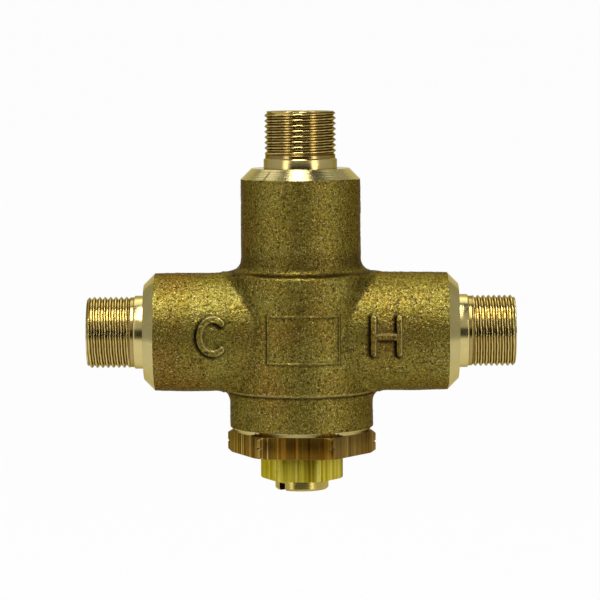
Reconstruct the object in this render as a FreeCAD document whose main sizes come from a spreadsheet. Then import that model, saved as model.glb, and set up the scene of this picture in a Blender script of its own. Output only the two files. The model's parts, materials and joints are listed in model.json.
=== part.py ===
"""Three-way mixing valve with a wax element: a cast tee body with two checked inlets, a hollow shuttle
between a hot and a cold seat, and an adjusting spindle with a lock nut.

Every piece is drawn with its heights counted from the inlet axis, up the cartridge axis. Its Placement then
lowers it, so that the model's origin is the middle of the outlet's end face: +Z is up and out of the outlet,
+X is towards the hot inlet and -Y is the front.
"""
import FreeCAD, Part
import math
import os
import re

import Sketcher

V = FreeCAD.Vector

# ---------------------------------------------------------------- driving sizes, in millimetres
SIZES = {
    # cast body, outside
    "outlet_reach": 43.3,        # inlet axis to the outlet's end face
    "inlet_reach": 42.0,         # cartridge axis to an inlet's end face
    "barrel_rad": 14.3,
    "barrel_top": 11.9,
    "barrel_drop": 19.5,         # inlet axis down to the bonnet's seat
    "barrel_chamfer": 1.15,
    "neck_rad": 11.75,
    "neck_fillet": 2.45,
    "neck_ledge": 0.05,          # least flat left outside the neck's fillet
    "arm_rad": 11.55,            # at the machined end
    "arm_root_rad": 11.85,       # the moulding draft makes the arm thicker at the barrel
    "arm_fillet": 2.1,
    # port ends, the same on all three
    "port_rad": 7.0,             # outside of the thread
    "thread_length": 9.2,
    "collar_rad": 7.2,
    "collar_length": 1.95,
    "shoulder_height": 2.15,     # 45 degree machined cone
    "end_chamfer": 0.45,
    "socket_rad": 4.9,           # takes the 9.5 mm pipe
    "socket_depth": 12.4,
    "mouth_flare": 1.0,
    "mouth_depth": 3.0,
    # passages and chambers in the body
    "outlet_bore_rad": 4.2,
    "spring_stop": 20.2,         # inlet axis up to the return spring's shoulder
    "neck_wall": 3.35,
    "core_ledge": 0.2,           # least step from the hot seat's hole out to the neck's core
    "core_slope": 1.0,
    "hot_seat_thick": 2.0,
    "seat_overlap": 0.1,         # what each seat's hole differs from the shuttle's bore
    "chamber_wall": 3.5,
    "land_half": 2.2,            # half the height of the sealing land
    "inlet_core_rad": 2.8,       # cored passage from an inlet to its chamber
    "check_ledge": 0.8,          # width of the shoulder a check valve stands on
    "plenum_end": 15.6,
    # bonnet
    "bonnet_flats": 25.4,
    "bonnet_hex_height": 4.3,
    "bonnet_thread_rad": 10.95,
    "bonnet_thread_length": 5.6,
    "bonnet_thread_tip": 0.4,    # the thread stops this far short of its bore's end
    "bonnet_relief": 1.1,
    "bonnet_relief_rad": 10.2,
    "nose_rad": 9.95,
    "seat_land": 0.4,            # how far the cold seat reaches past the shuttle
    "seat_ring_height": 0.6,
    "seat_hole_depth": 1.5,
    "hex_chamfer_rise": 0.5,
    "hex_groove_rad": 14.3,
    "hex_groove_half": 0.6,
    "bonnet_turn": 24.5,         # degrees from a corner at the front
    # adjusting spindle and lock nut
    "spindle_rad": 5.25,
    "spindle_out": 7.3,          # how far the spindle stands out of the bonnet
    "spindle_chamfer": 0.35,
    "spindle_head_step": 0.65,
    "spindle_head_height": 4.5,
    "spindle_head_lift": 2.7,    # bonnet's seat up to the shoulder under the head
    "spindle_foot_room": 0.3,    # past the stroke, below the head and above it
    "spindle_top_room": 0.2,
    "spindle_stroke": 1.5,       # travel each way
    "spindle_wall": 1.25,
    "spindle_floor": 7.3,        # solid metal above the slotted end
    "slot_width": 1.6,
    "slot_depth": 1.5,
    "slot_turn": -48.6,          # degrees from the front
    "nut_flats": 14.1,
    "nut_height": 5.2,
    "nut_chamfer_rise": 0.25,
    "nut_flare": 0.4,
    "nut_turn": 25.3,
    # overtravel pieces
    "plunger_room": 0.1,
    "plunger_thick": 1.0,
    "plunger_nose_room": 0.5,
    "plunger_nose": 1.4,
    "plunger_guide_room": 0.35,
    "plunger_guide": 2.3,
    "snap_ring_bite": 0.45,      # outwards into its groove
    "snap_ring_show": 0.9,       # inwards over the plunger
    "snap_ring_thick": 0.6,
    "snap_ring_gap": 1.6,
    "snap_ring_inset": 0.5,      # below the spindle head's rim
    # shuttle
    "shuttle_rad": 8.0,
    "shuttle_wall": 1.3,
    "shuttle_waist_wall": 1.8,
    "shuttle_waist_half": 2.0,
    "shuttle_ramp": 0.5,
    "shuttle_half": 7.3,
    "seat_gap": 0.9,             # opening at each seat when both run
    "hub_top": 0.5,
    "hub_bottom": 1.7,
    "hub_slots": 4,
    "hub_slot_degrees": 66,
    # wax element
    "cup_share": 0.832,          # of the hub's radius
    "cup_wall": 0.4,
    "cup_top": 15.0,
    "cup_corner": 1.2,
    "cup_flange_step": 1.05,
    "cup_flange_thick": 0.45,
    "guide_flange_step": 0.55,
    "guide_flange_thick": 0.8,
    "crimp_thick": 0.35,
    "guide_rad": 3.0,
    "guide_length": 6.6,
    "boot_rad": 2.6,
    "boot_hole_rad": 1.6,
    "boot_flange": 0.6,
    "boot_top": 6.2,
    "boot_hole_top": 5.0,
    "pin_rad": 1.5,
    "pin_tip": 1.0,
    "pin_bevel": 0.5,
    "pin_seat_depth": 0.6,
    # springs
    "return_wire": 0.5,          # wire radius
    "return_seat_room": 0.15,    # round the spring where it stands in the shuttle's waist
    "return_side_room": 0.75,
    "return_turns": 6.5,
    "overtravel_wire": 0.5,
    "overtravel_side_room": 0.2,
    "overtravel_turns": 5.5,
    "check_wire": 0.25,
    "check_spring_mean_rad": 1.75,
    "check_turns": 4,
    # seals, by the radius of their section
    "bonnet_seal": 0.75,
    "spindle_seal": 0.6,
    "shuttle_seal": 0.5,
    "check_seal": 0.45,
    "poppet_seal": 0.4,
    "seal_side_room": 0.15,
    "gland_shoulder": 0.9,       # metal between a cartridge O-ring's groove and the end beside it
    # check valve, counted from its inner end outwards
    "check_length": 8.5,
    "check_stop": 19.5,          # cartridge axis to the shoulder it stands on
    "check_wall": 0.85,
    "check_seat_thick": 1.6,
    "check_seat_flare": 0.5,
    "check_gland_shoulder": 0.25,
    "check_gland_room": 0.1,     # each side of its O-ring
    "check_seat_land": 0.45,     # from the seat's hole to the middle of the poppet's seal
    "check_web": 1.2,
    "check_hub_rad": 1.5,
    "check_window_count": 3,
    "check_window_degrees": 88,
    "poppet_room": 0.7,
    "poppet_thick": 1.1,
    "poppet_nose_room": 0.4,
    "poppet_nose": 0.9,
    "poppet_stem_rad": 0.8,
    "poppet_stem_reach": 0.4,    # past the web that guides it
    "poppet_seal_inset": 0.55,
    "poppet_stroke": 2.0,
    # inlet screen
    "screen_rim": 1.1,
    "screen_ledge": 1.5,
    "screen_cap": 2.1,
    "screen_wall": 0.35,
    "screen_slot_width": 0.7,
    "screen_slot_foot": 0.2,
    "screen_slots": 8,
    # clearances
    "thread_room": 0.05,
    "running_room": 0.05,
    "seal_room": 0.02,
}

# Heights and lengths that follow from the sizes. Each is the text of an expression on the sheet's values.
SHOULDER_END = "(thread_length + collar_length)"
PORT_LENGTH = "(thread_length + collar_length + shoulder_height)"
SEAT_Z = "(shuttle_half + seat_gap)"
BONNET_FOOT = "(barrel_drop + bonnet_hex_height)"
SPINDLE_END = f"({BONNET_FOOT} + spindle_out)"
POCKET_FLOOR = f"({SPINDLE_END} - spindle_floor)"
HEAD_FOOT = "(barrel_drop - spindle_head_lift)"
HEAD_TOP = f"({HEAD_FOOT} - spindle_head_height)"
RING_TOP = f"({HEAD_TOP} + snap_ring_inset)"
RING_FOOT = f"({RING_TOP} + snap_ring_thick)"
PLUNGER_TOP = f"({RING_FOOT} + seal_room)"
PLUNGER_FOOT = f"({PLUNGER_TOP} + plunger_thick)"
NOSE_TIP = f"({PLUNGER_TOP} - plunger_nose)"
PIN_FOOT = f"({NOSE_TIP} + pin_seat_depth)"
CUP_FOOT = "(hub_bottom + cup_flange_thick)"
GUIDE_FOOT = f"({CUP_FOOT} + guide_flange_thick)"
CHECK_SEAT = "(check_length - check_seat_thick)"
POPPET_FACE = f"({CHECK_SEAT} - poppet_seal)"
POPPET_BACK = f"({POPPET_FACE} - poppet_thick)"

# Radii that follow in the same way.
MOUTH_RAD = "(socket_rad + mouth_flare)"
SHUTTLE_BORE = "(shuttle_rad - shuttle_wall)"
WAIST_RAD = "(shuttle_rad - shuttle_waist_wall)"
HOT_SEAT_RAD = f"({SHUTTLE_BORE} + seat_overlap)"
COLD_SEAT_RAD = f"({SHUTTLE_BORE} - seat_overlap)"
HUB_RAD = f"({WAIST_RAD} - return_seat_room - 2 * return_wire)"
CUP_RAD = f"({HUB_RAD} * cup_share)"
CUP_BORE = f"({CUP_RAD} - cup_wall)"
CUP_FLANGE = f"({CUP_RAD} + cup_flange_step)"
GUIDE_FLANGE = f"({CUP_RAD} + guide_flange_step)"
RETURN_MEAN = f"({HUB_RAD} + return_wire)"
SPRING_BORE = f"({RETURN_MEAN} + return_wire + return_side_room)"
CHAMBER_RAD = "(barrel_rad - chamber_wall)"
HEAD_RAD = "(spindle_rad + spindle_head_step)"
POCKET_RAD = "(spindle_rad - spindle_wall)"
OVERTRAVEL_MEAN = f"({POCKET_RAD} - overtravel_side_room - overtravel_wire)"
RING_OUTER = f"({POCKET_RAD} + snap_ring_bite)"
RING_INNER = f"({POCKET_RAD} - snap_ring_show)"
CHECK_RAD = "(socket_rad - running_room)"
CHECK_BORE = f"({CHECK_RAD} - check_wall)"
POPPET_RAD = f"({CHECK_BORE} - poppet_room)"
POPPET_SEAL_RAD = f"({POPPET_RAD} - poppet_seal_inset)"
CHECK_SEAT_RAD = f"({POPPET_SEAL_RAD} - check_seat_land)"
SCREEN_CAP_RAD = "(socket_rad - screen_ledge)"
SCREEN_BORE = f"({SCREEN_CAP_RAD} - screen_wall)"

ABOVE = 1.0          # how far a cutting profile runs past the face it opens through
WIRE_SIDES = 8       # a spring's wire, as a polygon that keeps it light
LEAST_CHANGE = 1e-4  # a feature that alters the volume by less than this has done nothing
CLOSE = 1e-4         # two lengths this near are the same
ON_WALL = 0.01       # how far a point of a curved edge may lie off the wall that it follows

doc = FreeCAD.newDocument("mixing_valve")
sheet = doc.addObject("Spreadsheet::Sheet", "sizes")
pieces = {}


# ---------------------------------------------------------------- the sheet and expressions
def fill_sheet():
    for row, (alias, number) in enumerate(SIZES.items(), start=1):
        sheet.set(f"A{row}", alias)
        sheet.set(f"B{row}", str(number))
        sheet.setAlias(f"B{row}", alias)
    doc.recompute()


def linked(text):
    """The expression with every alias looked up on the sheet."""
    return re.sub(r"[a-z][a-z_]+(?![a-z_(])", lambda found: "sizes." + found.group(), text)


def number(text):
    return float(sheet.evalExpression(linked(text)))


# ---------------------------------------------------------------- sketches
def new_body(name):
    body = doc.addObject("PartDesign::Body", name)
    body.Label = name
    return body


def new_sketch(body, name, role):
    sketch = body.newObject("Sketcher::SketchObject", f"{body.Name}_{name}")
    plane = [item for item in body.Origin.OriginFeatures if item.Role == role][0]
    sketch.AttachmentSupport = [(plane, "")]
    sketch.MapMode = "FlatFace"
    return sketch


def pin_point(sketch, geometry, spot, across, up):
    """Hold a point of the sketch at two distances that the sheet gives."""
    for kind, text in (("DistanceX", across), ("DistanceY", up)):
        index = sketch.addConstraint(Sketcher.Constraint(kind, -1, 1, geometry, spot, number(text)))
        sketch.setExpression(f"Constraints[{index}]", linked(text))


def outline(body, name, corners, role="XZ_Plane"):
    """A closed outline of straight lines through corners, each a pair of expressions."""
    sketch = new_sketch(body, name, role)
    spots = [V(number(across), number(up), 0) for across, up in corners]
    count = len(corners)
    for index in range(count):
        sketch.addGeometry(Part.LineSegment(spots[index], spots[(index + 1) % count]))
    for index, (across, up) in enumerate(corners):
        sketch.addConstraint(Sketcher.Constraint("Coincident", index, 2, (index + 1) % count, 1))
        pin_point(sketch, index, 1, across, up)
    return sketch


def disc(body, name, across, up, radius, role="XZ_Plane"):
    sketch = new_sketch(body, name, role)
    middle = V(number(across), number(up), 0)
    sketch.addGeometry(Part.Circle(middle, V(0, 0, 1), number(radius)))
    pin_point(sketch, 0, 3, across, up)
    index = sketch.addConstraint(Sketcher.Constraint("Radius", 0, number(radius)))
    sketch.setExpression(f"Constraints[{index}]", linked(radius))
    return sketch


# ---------------------------------------------------------------- features
def check_change(body, before, grows):
    """A feature that adds nothing or cuts nothing is a mistake that raises no error by itself."""
    doc.recompute()
    after = body.Shape.Volume
    if (after > before) != grows or abs(after - before) < LEAST_CHANGE:
        raise RuntimeError(f"{body.Name}: {body.Tip.Name} left {before:.4f} at {after:.4f}")


def volume_of(body):
    return body.Shape.Volume if body.Tip else 0.0


def spin(body, sketch, axis="V_Axis", cut=False, degrees=None):
    """Turn a sketch round one of its own axes, as added metal or as a cut."""
    before = volume_of(body)
    kind = "PartDesign::Groove" if cut else "PartDesign::Revolution"
    feature = body.newObject(kind, sketch.Name + "_spin")
    feature.Profile = sketch
    feature.ReferenceAxis = (sketch, [axis])
    if degrees:
        feature.Midplane = True
        feature.setExpression("Angle", linked(degrees))
    else:
        feature.Angle = 360
    check_change(body, before, not cut)
    return feature


def push(body, sketch, length, cut=False, both_ways=False, backwards=False):
    """Pad or pocket a sketch by a length."""
    before = volume_of(body)
    feature = body.newObject("PartDesign::Pocket" if cut else "PartDesign::Pad", sketch.Name + "_push")
    feature.Profile = sketch
    feature.setExpression("Length", linked(length))
    feature.Midplane = both_ways
    feature.Reversed = backwards
    check_change(body, before, not cut)
    return feature


def around(body, feature, count, axis_role="Z_Axis"):
    """Repeat a feature round an axis of the body."""
    before = volume_of(body)
    pattern = body.newObject("PartDesign::PolarPattern", feature.Name + "_around")
    axis = [item for item in body.Origin.OriginFeatures if item.Role == axis_role][0]
    pattern.Originals = [feature]
    pattern.Axis = (axis, [""])
    pattern.Angle = 360
    pattern.setExpression("Occurrences", linked(count))
    body.Tip = pattern
    check_change(body, before, False)


def rounded(body, chosen, radius, name):
    """Fillet the edges of the body's last feature for which chosen(edge) holds."""
    before = volume_of(body)
    base = body.Tip
    edges = [f"Edge{index}" for index, edge in enumerate(base.Shape.Edges, start=1) if chosen(edge)]
    fillet = body.newObject("PartDesign::Fillet", f"{body.Name}_{name}")
    fillet.Base = (base, edges)
    fillet.setExpression("Radius", linked(radius))
    doc.recompute()
    if abs(volume_of(body) - before) < LEAST_CHANGE:
        raise RuntimeError(f"{body.Name}: the fillet {name} changed nothing")


def is_ring(edge, radius, height):
    """Whether an edge is a circle of that radius at that height on the cartridge axis."""
    curve = edge.Curve
    if not isinstance(curve, Part.Circle):
        return False
    return abs(curve.Radius - radius) < CLOSE and abs(curve.Center.z - height) < CLOSE


def placed(item, name, turn="0"):
    """Lower a piece that stands on the cartridge axis so that the origin is at the outlet's end face."""
    item.Label = name
    item.Placement = FreeCAD.Placement(V(0, 0, 0), FreeCAD.Rotation(V(0, 0, 1), number(turn)))
    item.setExpression("Placement.Base.z", linked("-outlet_reach"))
    if turn != "0":
        item.setExpression("Placement.Rotation.Angle", linked(turn))
    pieces[name] = item


def ring(name, mean_rad, height, section, place):
    """An O-ring turned round the local Z axis. Eight flats round its cord keep it light."""
    half_flat = f"{section} * {math.tan(math.pi / 8):.6f}"
    signs = [(1, -1), (1, 1), (-1, 1), (-1, -1)]
    corners = []
    for index, (across, up) in enumerate(signs):
        wide = (f"{mean_rad} + {across} * {section}", f"{height} + {up} * {half_flat}")
        tall = (f"{mean_rad} + {across} * {half_flat}", f"{height} + {up} * {section}")
        corners += [wide, tall] if index % 2 else [tall, wide]
    body = new_body(name)
    spin(body, outline(body, "section", corners))
    place(body, name)


def coil(name, mean_rad, wire, length, turns, place):
    """A compression spring from local Z = 0 to length, with its ends ground flat.

    The helix starts and ends half a wire radius outside that, which is what the grinding takes off.
    """
    spare = f"({wire} / 2)"
    helix = doc.addObject("Part::Helix", name + "_helix")
    helix.setExpression("Radius", linked(mean_rad))
    helix.setExpression("Height", linked(f"{length} + 2 * {spare}"))
    helix.setExpression("Pitch", linked(f"({length} + 2 * {spare}) / {turns}"))
    helix.setExpression("Placement.Base.z", linked(f"-{spare}"))
    section = doc.addObject("Part::RegularPolygon", name + "_section")
    section.Polygon = WIRE_SIDES
    section.setExpression("Circumradius", linked(wire))
    section.Placement = FreeCAD.Placement(V(0, 0, 0), FreeCAD.Rotation(V(1, 0, 0), 90))
    section.setExpression("Placement.Base.x", linked(mean_rad))
    section.setExpression("Placement.Base.z", linked(f"-{spare}"))
    doc.recompute()
    sweep = doc.addObject("Part::Sweep", name + "_sweep")
    sweep.Sections = [section]
    sweep.Spine = (helix, [f"Edge{index + 1}" for index in range(len(helix.Shape.Edges))])
    sweep.Solid = True
    sweep.Frenet = True
    room = doc.addObject("Part::Cylinder", name + "_room")
    room.setExpression("Radius", linked(f"{mean_rad} + 2 * {wire}"))
    room.setExpression("Height", linked(length))
    ground = doc.addObject("Part::Common", name)
    ground.Base = sweep
    ground.Tool = room
    doc.recompute()
    place(ground, name)


# ---------------------------------------------------------------- cast body
def port_corners(reach, root_rad):
    """Outside of a port from its machined cone to its end, as (distance along the axis, radius)."""
    return [
        (f"{reach} - {PORT_LENGTH}", root_rad),
        (f"{reach} - {SHOULDER_END}", f"{root_rad} - shoulder_height"),
        (f"{reach} - {SHOULDER_END}", "collar_rad"),
        (f"{reach} - thread_length", "collar_rad"),
        (f"{reach} - thread_length", "port_rad"),
        (f"{reach} - end_chamfer", "port_rad"),
        (reach, "port_rad - end_chamfer"),
    ]


def valve_body():
    """Barrel and arms are blended while the barrel is too tall, then the neck is turned out of its top."""
    body = new_body("valve_body")
    spare = f"arm_fillet + 2 * {ABOVE}"
    upright = [("0", "-barrel_drop"), ("barrel_rad - barrel_chamfer", "-barrel_drop")]
    upright += [("barrel_rad", "-barrel_drop + barrel_chamfer"), ("barrel_rad", f"barrel_top + {spare}")]
    upright += [("neck_rad", f"barrel_top + {spare}")]
    upright += [(radius, along) for along, radius in port_corners("outlet_reach", "neck_rad")]
    upright += [("0", "outlet_reach")]
    spin(body, outline(body, "upright", upright))
    add_arms(body)
    trim_top = f"barrel_top + {spare} + {ABOVE}"
    trim = [("neck_rad", "barrel_top"), ("2 * barrel_rad", "barrel_top"),
            ("2 * barrel_rad", trim_top), ("neck_rad", trim_top)]
    spin(body, outline(body, "neck_trim", trim), cut=True)
    neck_rad, barrel_top = number("neck_rad"), number("barrel_top")
    rounded(body, lambda edge: is_ring(edge, neck_rad, barrel_top),
            "min(neck_fillet; barrel_rad - neck_rad - neck_ledge)", "neck_root")
    bore_cartridge(body)
    bore_inlets(body)
    placed(body, "valve_body")


def add_arms(body):
    right = [("0", "arm_root_rad")] + port_corners("inlet_reach", "arm_rad") + [("inlet_reach", "0")]
    left = [(f"-({along})", radius) for along, radius in reversed(right)][:-1]
    spin(body, outline(body, "arms", left + right), axis="H_Axis")
    barrel_rad = number("barrel_rad")

    def arm_root(edge):
        """Where an arm's side meets the barrel's wall."""
        if isinstance(edge.Curve, (Part.Line, Part.Circle)):
            return False
        return all(abs(math.hypot(spot.x, spot.y) - barrel_rad) < ON_WALL for spot in edge.discretize(5))
    rounded(body, arm_root, "arm_fillet", "arm_root")


def bore_cartridge(body):
    """The stepped bore for the bonnet and shuttle, both chambers, the neck's core and the outlet."""
    nose_bore = "nose_rad + thread_room"
    land_bore = "shuttle_rad + running_room"
    neck_core = f"max(neck_rad - neck_wall; {HOT_SEAT_RAD} + core_ledge)"
    corners = [
        ("0", f"-barrel_drop - {ABOVE}"),
        ("bonnet_thread_rad + thread_room", f"-barrel_drop - {ABOVE}"),
        ("bonnet_thread_rad + thread_room", "-barrel_drop + bonnet_relief + bonnet_thread_length"),
        (nose_bore, "-barrel_drop + bonnet_relief + bonnet_thread_length"),
        (nose_bore, f"-{SEAT_Z}"),
        (CHAMBER_RAD, f"-{SEAT_Z}"),
        (CHAMBER_RAD, "-land_half"),
        (land_bore, "-land_half"),
        (land_bore, "land_half"),
        (CHAMBER_RAD, "land_half"),
        (CHAMBER_RAD, SEAT_Z),
        (HOT_SEAT_RAD, SEAT_Z),
        (HOT_SEAT_RAD, f"{SEAT_Z} + hot_seat_thick"),
        (neck_core, f"{SEAT_Z} + hot_seat_thick + core_slope"),
        (neck_core, "spring_stop - 2 * core_slope"),
        (SPRING_BORE, "spring_stop - core_slope"),
        (SPRING_BORE, "spring_stop"),
        ("outlet_bore_rad", "spring_stop"),
        ("outlet_bore_rad", "outlet_reach - socket_depth"),
    ]
    corners += [(radius, along) for along, radius in socket_corners("outlet_reach")]
    spin(body, outline(body, "cartridge_bore", corners), cut=True)


def socket_corners(reach):
    """The pipe socket with its tapered mouth for the sleeve, as (distance along the axis, radius)."""
    return [
        (f"{reach} - socket_depth", "socket_rad"),
        (f"{reach} - mouth_depth", "socket_rad"),
        (reach, MOUTH_RAD),
        (f"{reach} + {ABOVE}", MOUTH_RAD),
        (f"{reach} + {ABOVE}", "0"),
    ]


def bore_inlets(body):
    """Socket, check valve bore and plenum of each inlet, and its cored way to the chamber above or below."""
    plenum = "socket_rad - check_ledge"
    for name, side in (("hot", ""), ("cold", "-")):
        corners = [("plenum_end", "0"), ("plenum_end", plenum), ("check_stop", plenum),
                   ("check_stop", "socket_rad")] + socket_corners("inlet_reach")[1:]
        corners = [(f"{side}({along})", radius) for along, radius in corners]
        spin(body, outline(body, f"{name}_bore", corners), axis="H_Axis", cut=True)
        middle = f"{side}((land_half + {SEAT_Z}) / 2)"
        core = disc(body, f"{name}_core", f"{side}(0)", middle, "inlet_core_rad", role="YZ_Plane")
        push(body, core, f"check_stop - {ABOVE}", cut=True, backwards=(side == ""))


# ---------------------------------------------------------------- hexagons
def hexagon(body, name, flats, role="XY_Plane"):
    """A hexagon with a corner towards the front."""
    corners = []
    for index in range(6):
        angle = math.radians(60 * index - 90)
        corners.append((f"{flats} * {math.cos(angle) / math.sqrt(3):.9f}",
                        f"{flats} * {math.sin(angle) / math.sqrt(3):.9f}"))
    return outline(body, name, corners, role)


def bevel_hex(body, name, flats, height, rise, way):
    """Cut the hexagon's corners back at 30 degrees, so that a circle just inside its flats is left."""
    slope = math.sqrt(3)
    inner = f"({flats} / sqrt(3) - {rise} * {slope:.6f})"
    outer = f"({flats} / sqrt(3) + 1)"
    corners = [(inner, height), (outer, height), (outer, f"{height} - ({way}) * ({rise} + {1 / slope:.6f})")]
    spin(body, outline(body, name, corners), cut=True)


def bonnet():
    body = new_body("bonnet")
    flange = hexagon(body, "hex", "bonnet_flats")
    flange.setExpression("AttachmentOffset.Base.z", linked(f"-{BONNET_FOOT}"))
    push(body, flange, "bonnet_hex_height")
    bevel_hex(body, "upper_bevel", "bonnet_flats", "-barrel_drop", "hex_chamfer_rise", 1)
    bevel_hex(body, "lower_bevel", "bonnet_flats", f"-{BONNET_FOOT}", "hex_chamfer_rise", -1)
    middle = "(barrel_drop + bonnet_hex_height / 2)"
    outer = "(bonnet_flats / sqrt(3) + 1)"
    half = "hex_groove_half"
    notch = [("hex_groove_rad", f"-{middle}"), (outer, f"-{middle} - {half} * ({outer} - hex_groove_rad)"),
             (outer, f"-{middle} + {half} * ({outer} - hex_groove_rad)")]
    spin(body, outline(body, "corner_groove", notch), cut=True)
    thread_foot = "-barrel_drop + bonnet_relief"
    thread_top = "-barrel_drop + bonnet_relief + bonnet_thread_length - bonnet_thread_tip"
    nose_top = f"-{SEAT_Z} - seat_ring_height"
    gland_foot = f"{thread_top} + gland_shoulder"
    gland_top = f"{gland_foot} + 2 * (bonnet_seal + seal_side_room)"
    gland_floor = "nose_rad + thread_room - 2 * bonnet_seal - seal_room"
    stem = [
        ("0", f"-barrel_drop - {ABOVE}"), ("bonnet_relief_rad", f"-barrel_drop - {ABOVE}"),
        ("bonnet_relief_rad", thread_foot), ("bonnet_thread_rad", thread_foot),
        ("bonnet_thread_rad", thread_top), ("nose_rad", thread_top),
        ("nose_rad", gland_foot), (gland_floor, gland_foot),
        (gland_floor, gland_top), ("nose_rad", gland_top),
        ("nose_rad", nose_top), ("shuttle_rad + seat_land", nose_top),
        ("shuttle_rad + seat_land", f"-{SEAT_Z}"), ("0", f"-{SEAT_Z}"),
    ]
    spin(body, outline(body, "stem", stem))
    spindle_bore = "spindle_rad + thread_room"
    head_bore = f"{HEAD_RAD} + running_room"
    head_stop = f"-{HEAD_FOOT} - spindle_stroke - spindle_foot_room"
    bore = [
        ("0", f"-{BONNET_FOOT} - {ABOVE}"), (spindle_bore, f"-{BONNET_FOOT} - {ABOVE}"),
        (spindle_bore, head_stop), (head_bore, head_stop),
        (head_bore, f"-{HEAD_TOP} + spindle_stroke + spindle_top_room"),
        (COLD_SEAT_RAD, f"-{SEAT_Z} - seat_hole_depth"),
        (COLD_SEAT_RAD, f"-{SEAT_Z} + {ABOVE}"), ("0", f"-{SEAT_Z} + {ABOVE}"),
    ]
    spin(body, outline(body, "bore", bore), cut=True)
    placed(body, "bonnet", "bonnet_turn")
    gland_middle = f"({gland_foot} + bonnet_seal + seal_side_room)"
    ring("bonnet_o_ring", "(nose_rad + thread_room - bonnet_seal)", gland_middle, "bonnet_seal", placed)


def lock_nut():
    body = new_body("lock_nut")
    foot = f"({BONNET_FOOT} + nut_height)"
    blank = hexagon(body, "hex", "nut_flats")
    blank.setExpression("AttachmentOffset.Base.z", linked(f"-{foot}"))
    push(body, blank, "nut_height")
    bevel_hex(body, "upper_bevel", "nut_flats", f"-{BONNET_FOOT}", "nut_chamfer_rise", 1)
    bevel_hex(body, "lower_bevel", "nut_flats", f"-{foot}", "nut_chamfer_rise", -1)
    bore_rad = "spindle_rad + thread_room"
    mouth_rad = f"{bore_rad} + nut_flare + {ABOVE}"
    bore = [("0", f"-{foot} - {ABOVE}"), (mouth_rad, f"-{foot} - {ABOVE}"),
            (bore_rad, f"-{foot} + nut_flare"), (bore_rad, f"-{BONNET_FOOT} - nut_flare"),
            (mouth_rad, f"-{BONNET_FOOT} + {ABOVE}"), ("0", f"-{BONNET_FOOT} + {ABOVE}")]
    spin(body, outline(body, "bore", bore), cut=True)
    placed(body, "lock_nut", "nut_turn")


# ---------------------------------------------------------------- adjusting spindle and overtravel pieces
def adjusting_spindle():
    body = new_body("adjusting_spindle")
    bore = f"({HEAD_RAD} + running_room)"
    gland_foot = f"-{HEAD_FOOT} + gland_shoulder"
    gland_top = f"{gland_foot} + 2 * (spindle_seal + seal_side_room)"
    seal_rad = f"({bore} - seal_room - spindle_seal)"
    gland_floor = f"{seal_rad} - spindle_seal - seal_room"
    groove = f"{RING_OUTER} + running_room"
    profile = [
        ("0", f"-{SPINDLE_END}"), ("spindle_rad - spindle_chamfer", f"-{SPINDLE_END}"),
        ("spindle_rad", f"-{SPINDLE_END} + spindle_chamfer"), ("spindle_rad", f"-{HEAD_FOOT}"),
        (HEAD_RAD, f"-{HEAD_FOOT}"), (HEAD_RAD, gland_foot),
        (gland_floor, gland_foot), (gland_floor, gland_top),
        (HEAD_RAD, gland_top), (HEAD_RAD, f"-{HEAD_TOP}"),
        (POCKET_RAD, f"-{HEAD_TOP}"), (POCKET_RAD, f"-{RING_TOP}"),
        (groove, f"-{RING_TOP}"), (groove, f"-{RING_FOOT}"),
        (POCKET_RAD, f"-{RING_FOOT}"), (POCKET_RAD, f"-{POCKET_FLOOR}"),
        ("0", f"-{POCKET_FLOOR}"),
    ]
    spin(body, outline(body, "profile", profile))
    half = "slot_width / 2"
    slot = [(f"-{half}", f"-{SPINDLE_END} - {ABOVE}"), (half, f"-{SPINDLE_END} - {ABOVE}"),
            (half, f"-{SPINDLE_END} + slot_depth"), (f"-{half}", f"-{SPINDLE_END} + slot_depth")]
    push(body, outline(body, "slot", slot), "4 * spindle_rad", cut=True, both_ways=True)
    placed(body, "adjusting_spindle", "slot_turn")
    gland_middle = f"({gland_foot} + spindle_seal + seal_side_room)"
    ring("spindle_o_ring", seal_rad, gland_middle, "spindle_seal", placed)


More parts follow.
